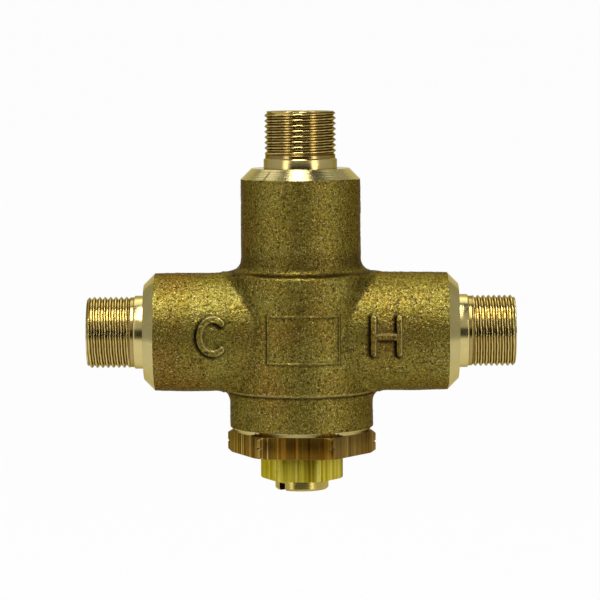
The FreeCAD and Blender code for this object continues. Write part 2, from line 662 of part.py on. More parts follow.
def overtravel_pieces():
    body = new_body("overtravel_plunger")
    plunger_rad = f"{POCKET_RAD} - plunger_room"
    guide_rad = f"{OVERTRAVEL_MEAN} - overtravel_wire - plunger_guide_room"
    nose_rad = f"{RING_INNER} - plunger_nose_room"
    profile = [
        ("0", f"-{PLUNGER_FOOT} - plunger_guide"), (guide_rad, f"-{PLUNGER_FOOT} - plunger_guide"),
        (guide_rad, f"-{PLUNGER_FOOT}"), (plunger_rad, f"-{PLUNGER_FOOT}"),
        (plunger_rad, f"-{PLUNGER_TOP}"), (nose_rad, f"-{PLUNGER_TOP}"),
        (nose_rad, f"-{NOSE_TIP}"), ("pin_rad + running_room", f"-{NOSE_TIP}"),
        ("pin_rad + running_room", f"-{PIN_FOOT}"), ("0", f"-{PIN_FOOT}"),
    ]
    spin(body, outline(body, "profile", profile))
    placed(body, "overtravel_plunger")

    clip = new_body("spindle_snap_ring")
    section = [(RING_INNER, f"-{RING_FOOT}"), (RING_OUTER, f"-{RING_FOOT}"),
               (RING_OUTER, f"-{RING_TOP}"), (RING_INNER, f"-{RING_TOP}")]
    spin(clip, outline(clip, "section", section))
    half = "snap_ring_gap / 2"
    gap = [(f"-{half}", f"-{RING_FOOT} - {ABOVE}"), (half, f"-{RING_FOOT} - {ABOVE}"),
           (half, f"-{RING_TOP} + {ABOVE}"), (f"-{half}", f"-{RING_TOP} + {ABOVE}")]
    push(clip, outline(clip, "gap", gap), f"2 * {RING_OUTER}", cut=True)
    placed(clip, "spindle_snap_ring")

    def stand_in_pocket(item, name):
        item.Label = name
        item.setExpression("Placement.Base.z", linked(f"-outlet_reach - {POCKET_FLOOR}"))
        pieces[name] = item
    coil("overtravel_spring", OVERTRAVEL_MEAN, "overtravel_wire", f"({POCKET_FLOOR} - {PLUNGER_FOOT})",
         "overtravel_turns", stand_in_pocket)


# ---------------------------------------------------------------- wax element
def wax_element():
    shell = new_body("element_cup")
    inner = CUP_BORE
    crown_foot, crown_rad = "cup_top - cup_corner - cup_wall / 2", f"{CUP_RAD} - cup_corner - cup_wall / 2"
    lip = f"-{GUIDE_FOOT} - crimp_thick"
    profile = [
        (inner, f"-{CUP_FOOT}"), (GUIDE_FLANGE, f"-{CUP_FOOT}"),
        (GUIDE_FLANGE, f"-{GUIDE_FOOT}"), (f"{GUIDE_FLANGE} - crimp_thick", f"-{GUIDE_FOOT}"),
        (f"{GUIDE_FLANGE} - crimp_thick", lip), (CUP_FLANGE, lip),
        (CUP_FLANGE, "-hub_bottom"), (CUP_RAD, "-hub_bottom"),
        (CUP_RAD, "cup_top - cup_corner"), (f"{CUP_RAD} - cup_corner", "cup_top"),
        ("0", "cup_top"), ("0", "cup_top - cup_wall"),
        (crown_rad, "cup_top - cup_wall"), (inner, crown_foot),
    ]
    spin(shell, outline(shell, "profile", profile))
    placed(shell, "element_cup")

    guide = new_body("element_guide")
    guide_end = f"-{GUIDE_FOOT} - guide_length"
    profile = [
        ("pin_rad + running_room", guide_end), ("guide_rad", guide_end),
        ("guide_rad", f"-{GUIDE_FOOT}"), (GUIDE_FLANGE, f"-{GUIDE_FOOT}"),
        (GUIDE_FLANGE, f"-{CUP_FOOT}"), ("pin_rad + running_room", f"-{CUP_FOOT}"),
    ]
    spin(guide, outline(guide, "profile", profile))
    placed(guide, "element_guide")

    boot = new_body("element_boot")
    profile = [
        ("boot_hole_rad", f"-{CUP_FOOT}"), (inner, f"-{CUP_FOOT}"),
        (inner, f"-{CUP_FOOT} + boot_flange"), ("boot_rad", f"-{CUP_FOOT} + boot_flange"),
        ("boot_rad", "boot_top"), ("0", "boot_top"),
        ("0", "boot_hole_top"), ("boot_hole_rad", "boot_hole_top"),
    ]
    spin(boot, outline(boot, "profile", profile))
    placed(boot, "element_boot")

    wax = new_body("wax_charge")
    profile = [
        ("boot_rad", f"-{CUP_FOOT} + boot_flange"), (inner, f"-{CUP_FOOT} + boot_flange"),
        (inner, crown_foot), (crown_rad, "cup_top - cup_wall"),
        ("0", "cup_top - cup_wall"), ("0", "boot_top"), ("boot_rad", "boot_top"),
    ]
    spin(wax, outline(wax, "profile", profile))
    placed(wax, "wax_charge")

    pin = new_body("piston_pin")
    profile = [("0", f"-{PIN_FOOT}"), ("pin_rad", f"-{PIN_FOOT}"), ("pin_rad", "pin_tip - 2 * pin_bevel"),
               ("pin_rad - pin_bevel", "pin_tip"), ("0", "pin_tip")]
    spin(pin, outline(pin, "profile", profile))
    placed(pin, "piston_pin")


# ---------------------------------------------------------------- shuttle and return spring
def shuttle():
    body = new_body("shuttle")
    seal_rad = "(shuttle_rad + running_room - seal_room - shuttle_seal)"
    gland = "(shuttle_seal + seal_side_room)"
    gland_floor = f"{seal_rad} - shuttle_seal - seal_room"
    profile = [
        (f"{CUP_RAD} + running_room", "-hub_bottom"), (WAIST_RAD, "-hub_bottom"),
        (WAIST_RAD, "-shuttle_waist_half"), (SHUTTLE_BORE, "-shuttle_waist_half - shuttle_ramp"),
        (SHUTTLE_BORE, "-shuttle_half"), ("shuttle_rad", "-shuttle_half"),
        ("shuttle_rad", f"-{gland}"), (gland_floor, f"-{gland}"),
        (gland_floor, gland), ("shuttle_rad", gland),
        ("shuttle_rad", "shuttle_half"), (SHUTTLE_BORE, "shuttle_half"),
        (SHUTTLE_BORE, "shuttle_waist_half + shuttle_ramp"), (WAIST_RAD, "shuttle_waist_half"),
        (WAIST_RAD, "hub_top"), (f"{CUP_RAD} + running_room", "hub_top"),
    ]
    spin(body, outline(body, "profile", profile))
    window = [(HUB_RAD, f"-hub_bottom - {ABOVE}"), (WAIST_RAD, f"-hub_bottom - {ABOVE}"),
              (WAIST_RAD, f"hub_top + {ABOVE}"), (HUB_RAD, f"hub_top + {ABOVE}")]
    slot = spin(body, outline(body, "window", window), cut=True, degrees="hub_slot_degrees")
    around(body, slot, "hub_slots")
    placed(body, "shuttle")
    ring("shuttle_o_ring", seal_rad, "0", "shuttle_seal", placed)

    def stand_on_hub(item, name):
        item.Label = name
        item.setExpression("Placement.Base.z", linked("hub_top - outlet_reach"))
        pieces[name] = item
    coil("return_spring", RETURN_MEAN, "return_wire", "(spring_stop - hub_top)", "return_turns",
         stand_on_hub)


# ---------------------------------------------------------------- inlets: check valve and screen
def in_inlet(side):
    """Lay a piece of an inlet along its arm: its local Z starts at the check valve's shoulder, outwards."""
    def place(item, name):
        item.Label = name
        item.Placement = FreeCAD.Placement(V(0, 0, 0), FreeCAD.Rotation(V(0, 1, 0), 90 * side))
        item.setExpression("Placement.Base.x", linked(f"{side} * check_stop"))
        item.setExpression("Placement.Base.z", linked("-outlet_reach"))
        pieces[name] = item
    return place


def check_valve(name, place):
    room = "(socket_rad - check_seal)"
    gland_foot = f"({CHECK_SEAT} + check_gland_shoulder)"
    gland_top = f"({gland_foot} + 2 * check_seal + 2 * check_gland_room)"
    housing = new_body(f"{name}_check_housing")
    profile = [
        ("poppet_stem_rad + running_room", "0"), (CHECK_RAD, "0"),
        (CHECK_RAD, gland_foot), (f"{room} - check_seal - seal_room", gland_foot),
        (f"{room} - check_seal - seal_room", gland_top), (CHECK_RAD, gland_top),
        (CHECK_RAD, "check_length"), (f"{CHECK_SEAT_RAD} + check_seat_flare", "check_length"),
        (CHECK_SEAT_RAD, "check_length - check_seat_flare"), (CHECK_SEAT_RAD, CHECK_SEAT),
        (CHECK_BORE, CHECK_SEAT), (CHECK_BORE, "check_web"),
        ("poppet_stem_rad + running_room", "check_web"),
    ]
    spin(housing, outline(housing, "profile", profile))
    window = [("check_hub_rad", f"-{ABOVE}"), (CHECK_BORE, f"-{ABOVE}"),
              (CHECK_BORE, f"check_web + {ABOVE}"), ("check_hub_rad", f"check_web + {ABOVE}")]
    slot = spin(housing, outline(housing, "window", window), cut=True, degrees="check_window_degrees")
    around(housing, slot, "check_window_count")
    place(housing, f"{name}_check_housing")
    gland_middle = f"({gland_foot} + check_seal + check_gland_room)"
    ring(f"{name}_check_o_ring", room, gland_middle, "check_seal", place)

    poppet = new_body(f"{name}_check_poppet")
    seal_half = "(poppet_seal + seal_room)"
    nose_rad = f"{CHECK_SEAT_RAD} - poppet_nose_room"
    inner, outer = f"({POPPET_SEAL_RAD} - {seal_half})", f"({POPPET_SEAL_RAD} + {seal_half})"
    profile = [
        ("0", "-poppet_stem_reach"), ("poppet_stem_rad", "-poppet_stem_reach"),
        ("poppet_stem_rad", POPPET_BACK), (POPPET_RAD, POPPET_BACK),
        (POPPET_RAD, POPPET_FACE), (outer, POPPET_FACE),
        (outer, f"{POPPET_FACE} - poppet_seal - 2 * seal_room"),
        (inner, f"{POPPET_FACE} - poppet_seal - 2 * seal_room"),
        (inner, POPPET_FACE), (nose_rad, POPPET_FACE),
        (f"({nose_rad}) / 2", f"{POPPET_FACE} + poppet_nose"), ("0", f"{POPPET_FACE} + poppet_nose"),
    ]
    spin(poppet, outline(poppet, "profile", profile))
    place(poppet, f"{name}_check_poppet")
    ring(f"{name}_poppet_seal", POPPET_SEAL_RAD, f"({POPPET_FACE} - seal_room)", "poppet_seal", place)

    def stand_on_web(item, label):
        place(item, label)
        outwards = item.Placement.Rotation.multVec(V(0, 0, 1)).x
        item.setExpression("Placement.Base.x", linked(f"{outwards:.0f} * (check_stop + check_web)"))
    coil(f"{name}_check_spring", "check_spring_mean_rad", "check_wire", f"({POPPET_BACK} - check_web)",
         "check_turns", stand_on_web)


def inlet_screen(name, place):
    screen = new_body(f"{name}_inlet_screen")
    foot = "check_length"
    rim_top = "(check_length + screen_rim)"
    cap_top = "(check_length + screen_rim + screen_cap)"
    profile = [
        (SCREEN_BORE, foot), (CHECK_RAD, foot),
        (CHECK_RAD, rim_top), (SCREEN_CAP_RAD, rim_top),
        (SCREEN_CAP_RAD, f"{cap_top} - 2 * screen_wall"), (f"{SCREEN_CAP_RAD} - 2 * screen_wall", cap_top),
        ("0", cap_top), ("0", f"{cap_top} - screen_wall"), (SCREEN_BORE, f"{cap_top} - 3 * screen_wall"),
    ]
    spin(screen, outline(screen, "profile", profile))
    half = "screen_slot_width / 2"
    slot = [(f"-{half}", f"{rim_top} + screen_slot_foot"), (half, f"{rim_top} + screen_slot_foot"),
            (half, f"{cap_top} + {ABOVE}"), (f"-{half}", f"{cap_top} + {ABOVE}")]
    cut = push(screen, outline(screen, "slot", slot), f"{SCREEN_CAP_RAD} + {ABOVE}", cut=True)
    around(screen, cut, "screen_slots")
    place(screen, f"{name}_inlet_screen")


# ---------------------------------------------------------------- build, check and write
def check_all():
    doc.recompute()
    for item in doc.Objects:
        if {"Invalid", "Error"} & set(item.State):
            raise RuntimeError(f"{item.Label} is {item.State}")
    for name, item in pieces.items():
        shape = item.Shape
        if shape.isNull() or not shape.isValid() or not shape.Solids:
            raise RuntimeError(f"{name} has no valid solid")


def write_all():
    os.makedirs("parts", exist_ok=True)
    for name, item in pieces.items():
        item.Shape.exportStep(os.path.join("parts", name + ".step"))


fill_sheet()
valve_body()
bonnet()
lock_nut()
adjusting_spindle()
overtravel_pieces()
wax_element()
shuttle()
for inlet, way in (("cold", -1), ("hot", 1)):
    check_valve(inlet, in_inlet(way))
    inlet_screen(inlet, in_inlet(way))
check_all()
write_all()
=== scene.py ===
import bpy
import bmesh
import json
import math
import numpy as np
from mathutils import Matrix, Vector, noise


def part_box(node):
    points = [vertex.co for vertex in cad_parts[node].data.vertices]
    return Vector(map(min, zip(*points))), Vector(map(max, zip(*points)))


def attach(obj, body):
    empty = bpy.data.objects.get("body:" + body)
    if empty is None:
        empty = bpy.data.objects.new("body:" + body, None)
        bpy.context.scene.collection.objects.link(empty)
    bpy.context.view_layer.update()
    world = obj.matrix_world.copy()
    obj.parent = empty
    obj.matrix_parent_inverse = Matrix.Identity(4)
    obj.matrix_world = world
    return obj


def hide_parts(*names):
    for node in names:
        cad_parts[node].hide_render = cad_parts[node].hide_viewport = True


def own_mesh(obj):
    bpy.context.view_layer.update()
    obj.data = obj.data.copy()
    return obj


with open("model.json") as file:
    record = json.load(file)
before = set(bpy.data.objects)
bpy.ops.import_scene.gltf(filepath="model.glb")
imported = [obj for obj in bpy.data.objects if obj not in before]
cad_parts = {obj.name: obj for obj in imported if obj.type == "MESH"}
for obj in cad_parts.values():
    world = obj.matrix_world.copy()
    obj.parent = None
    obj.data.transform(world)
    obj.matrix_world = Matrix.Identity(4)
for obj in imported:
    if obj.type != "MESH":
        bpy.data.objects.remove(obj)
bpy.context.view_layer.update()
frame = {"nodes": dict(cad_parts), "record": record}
scene = bpy.context.scene

# Sizes are in millimetres, and MM turns them into the scene's metres. Z is up, the cartridge's axis is the Z axis,
# and the outlet's end face is at height 0. Noise scales are per metre.
MM = 0.001
AXIS_Z = -43.3                # height of the inlets' axis
REACH = 42.0                  # cartridge axis to an inlet's end face
NECK, ARM, BARREL = 11.75, 11.55, 14.3      # the casting's radii
SHOULDER = AXIS_Z + 11.9      # the barrel's top, round the foot of the neck
STEP = AXIS_Z - 11.6          # the faint step round the barrel
SEAT = -62.8                  # the barrel's foot, where the bonnet sits
CHAMFER = 1.15                # at the barrel's foot
PORT, COLLAR = 7.0, 7.2       # radii of a port's thread and of the collar behind it
THREAD, COLLAR_LONG = 9.2, 1.95             # their lengths
CONE = 2.15                   # height and width of the 45 degree cone behind the collar
SOCKET, MOUTH = 4.9, 5.9      # radii of a port's socket and of its flared mouth
PITCH, THREAD_DEPTH = 1.058, 0.5
SPINDLE_END = -74.4
SPINDLE = 5.25                # its radius
SLOT_TURN = -48.6             # degrees from X to the line across the spindle's slot
SLOT_HALF, SLOT_DEEP = 0.82, 1.52           # half its width and its depth, with a little to spare
FRONT = -5                    # the raised marks are on skin in front of this Y


# ---------------------------------------------------------------- mesh helpers
def new_object(name, mesh):
    obj = bpy.data.objects.new(name, mesh)
    scene.collection.objects.link(obj)
    return obj


def object_from(name, bm):
    """A new object from a bmesh, which is freed."""
    mesh = bpy.data.meshes.new(name)
    bm.to_mesh(mesh)
    bm.free()
    return new_object(name, mesh)


def node_faces(node):
    """A bmesh copy of a CAD node, with its doubled vertices merged."""
    bm = bmesh.new()
    bm.from_mesh(frame["nodes"][node].data)
    bmesh.ops.remove_doubles(bm, verts=bm.verts, dist=1e-7)
    return bm


def circle(radius, height, angle):
    """The point at this angle on a circle round Z, in metres."""
    return radius * MM * math.cos(angle), radius * MM * math.sin(angle), height * MM


def lathe(name, profile, segments):
    """Turn a profile of (radius, height) round Z. Its first and last points are on the axis, and no others are."""
    bm = bmesh.new()
    angles = [2 * math.pi * k / segments for k in range(segments)]
    rings = [[bm.verts.new(circle(radius, height, angle)) for angle in (angles if radius else [0])]
             for radius, height in profile]
    for a, b in zip(rings, rings[1:]):
        for k in range(segments):
            n = (k + 1) % segments
            if len(a) == 1:
                bm.faces.new((a[0], b[k], b[n]))
            elif len(b) == 1:
                bm.faces.new((a[k], b[0], a[n]))
            else:
                bm.faces.new((a[k], b[k], b[n], a[n]))
    bmesh.ops.recalc_face_normals(bm, faces=bm.faces)
    return object_from(name, bm)


def baked(obj):
    """Apply the object's modifiers to its mesh."""
    graph = bpy.context.evaluated_depsgraph_get()
    graph.update()
    mesh = bpy.data.meshes.new_from_object(obj.evaluated_get(graph), preserve_all_data_layers=True, depsgraph=graph)
    obj.modifiers.clear()
    obj.data = mesh


def cut(obj, tool):
    """Take the tool away from the object. The new faces have the tool's material."""
    step = obj.modifiers.new("cut", "BOOLEAN")
    step.object = tool
    step.operation = "DIFFERENCE"
    step.solver = "EXACT"
    step.material_mode = "TRANSFER"
    baked(obj)
    bpy.data.objects.remove(tool)


def joined(name, objs):
    bm = bmesh.new()
    for obj in objs:
        bm.from_mesh(obj.data)
        bpy.data.objects.remove(obj)
    return object_from(name, bm)


def turned(obj, matrix):
    obj.data.transform(matrix)
    return obj


def to_inlet(degrees):
    """Turns what is modelled round Z on to the inlets' axis."""
    return Matrix.Translation((0, 0, AXIS_Z * MM)) @ Matrix.Rotation(math.radians(degrees), 4, "Y")


TO_HOT, TO_COLD = to_inlet(90), to_inlet(-90)


def shade(obj, angle):
    """Smooth shading, apart from edges sharper than this many degrees."""
    bm = bmesh.new()
    bm.from_mesh(obj.data)
    for face in bm.faces:
        face.smooth = True
    for edge in bm.edges:
        edge.smooth = len(edge.link_faces) == 2 and edge.calc_face_angle(0) < math.radians(angle)
    bm.to_mesh(obj.data)
    bm.free()


def wear_only(obj, material):
    """Leave the object with this one material."""
    obj.data.materials.clear()
    obj.data.materials.append(material)


def points(obj, field="co"):
    """Where the object's vertices are, in metres, or which way they face. One row for each."""
    values = np.empty(len(obj.data.vertices) * 3)
    obj.data.vertices.foreach_get(field, values)
    return values.reshape(-1, 3)


def move_points(obj, co):
    obj.data.vertices.foreach_set("co", co.ravel())
    obj.data.update()


def smooth_step(value, low, high):
    t = np.clip((value - low) / (high - low), 0, 1)
    return t * t * (3 - 2 * t)


def bell(value, middle, width):
    return np.exp(-((value - middle) / width) ** 2)


# ---------------------------------------------------------------- node helpers
def linear(r, g, b):
    """An sRGB colour of 0 to 255 as Blender's linear one."""
    def one(v):
        v /= 255
        return v / 12.92 if v <= 0.04045 else ((v + 0.055) / 1.055) ** 2.4
    return (one(r), one(g), one(b), 1)


def stops(*rows):
    """Stops of a colour ramp. Each row is a place and an sRGB colour."""
    return [(place, linear(*colour)) for place, *colour in rows]


class Nodes:
    """Short ways to add nodes to a tree. Each gives an output, and an input is an output or a plain value."""

    def __init__(self, tree, coords):
        self.tree = tree
        self.coords = self.new("TexCoord").outputs[coords]

    def new(self, kind):
        return self.tree.nodes.new("ShaderNode" + kind)

    def wire(self, node, inputs, output=0):
        """Link or set a node's inputs, given by name or number, and give one of its outputs."""
        for key, value in inputs.items():
            if isinstance(value, bpy.types.NodeSocket):
                self.tree.links.new(value, node.inputs[key])
            else:
                node.inputs[key].default_value = value
        return node.outputs[output]

    def stretched(self, along):
        """Coordinates in which a noise is drawn out along Z."""
        return self.wire(self.new("Mapping"), {0: self.coords, "Scale": (1, 1, along)})

    def noise(self, scale, detail=4, rough=0.6, source=None):
        return self.wire(self.new("TexNoise"), {"Vector": source or self.coords, "Scale": scale, "Detail": detail,
                                                "Roughness": rough}, "Fac")

    def bands(self, along, scale, detail):
        """Noise that changes along one coordinate only."""
        node = self.new("TexNoise")
        node.noise_dimensions = "1D"
        return self.wire(node, {"W": along, "Scale": scale, "Detail": detail}, "Fac")

    def attribute(self, name):
        node = self.new("Attribute")
        node.attribute_name = name
        return node.outputs["Fac"]

    def ramp(self, source, colours):
        node = self.new("ValToRGB")
        elements = node.color_ramp.elements
        while len(elements) < len(colours):
            elements.new(0.5)
        for element, (place, colour) in zip(elements, colours):
            element.position = place
            element.color = colour
        return self.wire(node, {0: source})

    def span(self, source, low, high, to_low=0.0, to_high=1.0, kind="LINEAR"):
        node = self.new("MapRange")
        node.interpolation_type = kind
        return self.wire(node, {"Value": source, "From Min": low, "From Max": high, "To Min": to_low,
                                "To Max": to_high}, "Result")

    def mix(self, factor, a, b):
        node = self.new("Mix")
        node.data_type = "RGBA"
        return self.wire(node, {0: factor, 6: a, 7: b}, 2)

    def math(self, kind, a, b=0.0):
        node = self.new("Math")
        node.operation = kind
        return self.wire(node, {0: a, 1: b})

    def split(self):
        node = self.new("SeparateXYZ")
        self.wire(node, {0: self.coords})
        return node.outputs

    def bump(self, height, distance, strength=1.0, under=None):
        """A normal from a height in millimetres, on top of another bump's."""
        inputs = {"Height": height, "Distance": distance * MM, "Strength": strength}
        return self.wire(self.new("Bump"), {**inputs, "Normal": under} if under else inputs)


class Finish(Nodes):
    """The nodes of a material with one Principled shader, and that shader's uniform values."""

    def __init__(self, name, **uniform):
        self.material = bpy.data.materials.new(name)
        self.material.use_nodes = True
        self.material.node_tree.nodes.clear()
        super().__init__(self.material.node_tree, "Object")
        self.out = self.new("OutputMaterial")
        self.shader = self.new("BsdfPrincipled")
        self.tree.links.new(self.shader.outputs[0], self.out.inputs[0])
        for key, value in uniform.items():
            self.shader.inputs[key.replace("_", " ")].default_value = value

    def surface(self, colour, roughness, normal):
        for key, value in (("Base Color", colour), ("Roughness", roughness), ("Normal", normal)):
            self.tree.links.new(value, self.shader.inputs[key])
        return self.material


# ---------------------------------------------------------------- materials
def cast_bronze():
    """Sand-cast skin: pits keep the oxide and peaks are rubbed bright. Point attributes add grime and painted shade
    round the raised marks and in the creases, and wear and a painted highlight on the marks' lit sides and the step's
    lip.
    """
    n = Finish("cast_bronze_skin", Metallic=0.92, Specular_Tint=(0.35, 0.3, 0.16, 1))
    patches = n.noise(90, 3)
    grain = n.noise(2000, 3, 0.65)
    fine = n.noise(3900, 2)
    # The last two colours are a painted highlight, with wear, and painted shade, with grime, which the skin's point
    # attributes mix in.
    pits, peaks, wear_and_painted_highlight, grime = linear(52, 40, 12), linear(222, 202, 138), linear(214, 194, 124), linear(30, 20, 8)
    base = n.ramp(patches, stops((0.32, 118, 91, 30), (0.5, 119, 103, 33), (0.68, 126, 117, 46)))
    base = n.mix(n.span(grain, 0.32, 0.56), pits, base)
    base = n.mix(n.span(fine, 0.55, 0.74, 0, 0.66), base, peaks)
    for name, colour in (("wear_and_painted_highlight", wear_and_painted_highlight), ("grime", grime)):
        base = n.mix(n.attribute(name), base, colour)
    return n.surface(base, n.span(grain, 0.3, 0.7, 0.46, 0.24), n.bump(fine, 0.08, under=n.bump(grain, 0.12)))


def machined_brass(name, axis, low, high, painted_flank_shade=None, marks=0.03, edge=(0.7, 0.62, 0.4, 1), rough=(0.14, 0.22)):
    """Turned brass: tool marks round the axis spread reflections along it. A thread's flanks get painted shade."""
    n = Finish(name, Metallic=1.0, Specular_Tint=edge)
    x, y, z = n.split()
    tool_marks = n.bands({"X": x, "Z": z}[axis], 6000, 3)
    cloud = n.noise(160, 3)
    base = n.ramp(cloud, [(0.3, low), (0.7, high)])
    if painted_flank_shade:
        side, lift = (y, n.math("SUBTRACT", z, AXIS_Z * MM)) if axis == "X" else (x, y)
        radius = n.math("POWER", n.math("ADD", n.math("POWER", side, 2.0), n.math("POWER", lift, 2.0)), 0.5)
        mid_flank = (PORT - 0.24) * MM
        from_flank = n.math("ABSOLUTE", n.math("SUBTRACT", radius, mid_flank))
        # Painted shade: the thread is darker towards the middle of its flanks.
        base = n.mix(n.span(from_flank, 0.06 * MM, 0.2 * MM), painted_flank_shade, base)
    return n.surface(base, n.span(cloud, 0.3, 0.7, *rough), n.bump(tool_marks, marks))


def clouded(n, low, high, rough, cloud_scale, grain_scale, relief):
    """An even finish, whose colour and gloss drift a little over a fine grain."""
    cloud = n.noise(cloud_scale)
    return n.surface(n.ramp(cloud, [(0.3, low), (0.7, high)]), n.span(cloud, 0.3, 0.7, *rough),
                     n.bump(n.noise(grain_scale, 2), 0.01, relief))


def plain_metal(name, low, high, rough=(0.25, 0.4)):
    return clouded(Finish(name, Metallic=1.0), low, high, rough, 300, 4000, 0.4)


def moulded(name, low, high, rough=(0.4, 0.55), gloss=0.5):
    return clouded(Finish(name, Specular_IOR_Level=gloss), low, high, rough, 400, 5000, 0.5)


def drawn_bar(name, colours, rough, coarse=450, fine=2000, blur=0.03):
    """Hexagon bar: streaks run along its length, which is Z, and its fine lines spread reflections sideways."""
    n = Finish(name, Metallic=1.0, Specular_Tint=(0.5, 0.42, 0.25, 1))
    broad = n.noise(coarse, 3, source=n.stretched(0.03))
    thin = n.noise(fine, 2, source=n.stretched(0.012))
    lines = n.noise(7000, 2, source=n.stretched(0.006))
    scratch = n.noise(1500, 0, 0.5, n.stretched(0.004))
    grime = n.noise(500, 4, 0.65)
    streak = n.math("ADD", n.math("MULTIPLY", broad, 0.5), n.math("MULTIPLY", thin, 0.5))
    base = n.ramp(n.span(streak, 0.36, 0.64), colours)
    base = n.mix(n.span(grime, 0.5, 0.75, 0, 0.3), base, colours[0][1])
    base = n.mix(n.span(scratch, 0.72, 0.76, 0, 0.7), base, linear(208, 190, 124))
    return n.surface(base, n.span(streak, 0.4, 0.6, *rough), n.bump(lines, blur, under=n.bump(thin, 0.02, 0.6)))


MATERIALS = {
    "cast": cast_bronze(),
    "cone": machined_brass("turned_cone", "Z", linear(184, 170, 112), linear(198, 184, 128)),
    "cone_x": machined_brass("turned_cone_side", "X", linear(184, 170, 112), linear(198, 184, 128)),
    # A thread's third colour is the painted shade on its flanks.
    "thread": machined_brass("turned_thread", "Z", linear(190, 170, 108), linear(208, 188, 124),
                             linear(112, 84, 34), 0.02, (0.4, 0.35, 0.22, 1)),
    "thread_x": machined_brass("turned_thread_side", "X", linear(196, 178, 116), linear(214, 196, 132),
                               linear(128, 104, 52), 0.014, (0.5, 0.45, 0.3, 1), (0.16, 0.23)),
    "spindle": machined_brass("turned_spindle", "Z", linear(166, 148, 74), linear(188, 170, 96),
                              marks=0.006, rough=(0.2, 0.28)),
    "bonnet": drawn_bar("bonnet_tarnish", stops((0.0, 80, 54, 28), (0.35, 114, 90, 48), (0.6, 128, 108, 62),
                                                (0.82, 150, 112, 46), (1.0, 172, 154, 108)), (0.3, 0.45)),
    # Painted reflection: a darker, warmer copy of the bar's tarnish for the bonnet's front flats, standing in for the
    # dark front they reflect.
    "bonnet_front_painted_reflection": drawn_bar("bonnet_tarnish_and_painted_reflection", stops((0.0, 72, 38, 6), (0.3, 112, 70, 14), (0.55, 102, 84, 26),
                                                          (0.8, 150, 104, 26), (1.0, 178, 144, 66)), (0.3, 0.42)),
    "nut": drawn_bar("nut_brass_bar", stops((0.0, 122, 100, 18), (0.35, 172, 156, 40), (0.7, 196, 182, 62),
                                            (1.0, 226, 212, 112)), (0.42, 0.55), 700, 1300, 0.05),
    # Painted shade: a near-black, dull finish for the faces in the spindle's slot, in place of the shade inside it.
    "slot_painted_shade": moulded("slot_painted_shade", linear(26, 7, 3), linear(38, 12, 6), (0.8, 0.9), gloss=0.05),
}


# ---------------------------------------------------------------- cast body
def body_voids():
    """The bores and chambers of the cast body."""
    z = AXIS_Z
    thread_bore, nose_bore, chamber, land, seat_hole, neck_core, outlet = 11.0, 10.0, 10.8, 8.05, 6.8, 8.4, 4.2
    bore = [(0, SEAT - 1), (thread_bore, SEAT - 1), (thread_bore, SEAT + 6.7),
            (nose_bore, SEAT + 6.7), (nose_bore, z - 8.2),
            (chamber, z - 8.2), (chamber, z - 2.2), (land, z - 2.2), (land, z + 2.2), (chamber, z + 2.2),
            (chamber, z + 8.2), (seat_hole, z + 8.2), (seat_hole, z + 10.2),
            (neck_core, z + 11.2), (neck_core, z + 18.2), (seat_hole, z + 19.2), (seat_hole, z + 20.2),
            (outlet, z + 20.2), (outlet, -12.4), (SOCKET, -12.4), (SOCKET, 2), (0, 2)]
    voids = [lathe("bore", bore, 96)]
    plenum, core_rad, core_off = 4.1, 2.8, 5.2
    side = [(0, 15.6), (plenum, 15.6), (plenum, 19.5), (SOCKET, 19.5), (SOCKET, REACH + 2), (0, REACH + 2)]
    for way, place in ((1, TO_HOT), (-1, TO_COLD)):
        voids.append(turned(lathe("side", side, 80), place))
        core = lathe("core", [(0, 0), (core_rad, 0), (core_rad, 18.5), (0, 18.5)], 48)
        voids.append(turned(core, Matrix.Translation((0, 0, way * core_off * MM)) @ place))
    return voids


def end_tool(reach):
    """Everything outside the machined 45 degree cone at a port, and beyond the end of the casting."""
    top = reach - THREAD - COLLAR_LONG
    low = top - CONE
    radius = (NECK if reach == 0 else ARM) - CONE
    spare, outside = 1.2, 22
    return lathe("end_tool", [(0, top), (radius, top), (radius + CONE + spare, low - spare), (outside, low - spare),
                              (outside, reach + 6), (0, reach + 6)], 128)


def foot_tool():
    """Everything below the barrel's foot and outside its chamfer."""
    rise, outside = 5.0, 18
    return lathe("foot_tool", [(0, SEAT - 3), (outside, SEAT - 3), (outside, SEAT + rise),
                               (BARREL - CHAMFER + rise, SEAT + rise), (BARREL - CHAMFER, SEAT), (0, SEAT)], 160)


def distance_to(x, z, strokes):
    """How far a point of the front view is from the nearest of some line segments."""
    best = np.full(x.shape, 1e3)
    for x0, z0, x1, z1 in strokes:
        dx, dz = x1 - x0, z1 - z0
        along = np.clip(((x - x0) * dx + (z - z0) * dz) / (dx * dx + dz * dz), 0, 1)
        best = np.minimum(best, np.hypot(x - x0 - along * dx, z - z0 - along * dz))
    return best


def line(*corners):
    """Line segments through points of the front view. Heights are above the inlets' axis, here and in arc."""
    return [(x0, AXIS_Z + z0, x1, AXIS_Z + z1) for (x0, z0), (x1, z1) in zip(corners, corners[1:])]


def arc(cx, cz, rx, rz, start, end):
    """Line segments along a part of an ellipse, with its angles in degrees from +X."""
    angles = [math.radians(start + (end - start) * k / 24) for k in range(25)]
    spots = [(cx + rx * math.cos(angle), AXIS_Z + cz + rz * math.sin(angle)) for angle in angles]
    return [(*p, *q) for p, q in zip(spots, spots[1:])]


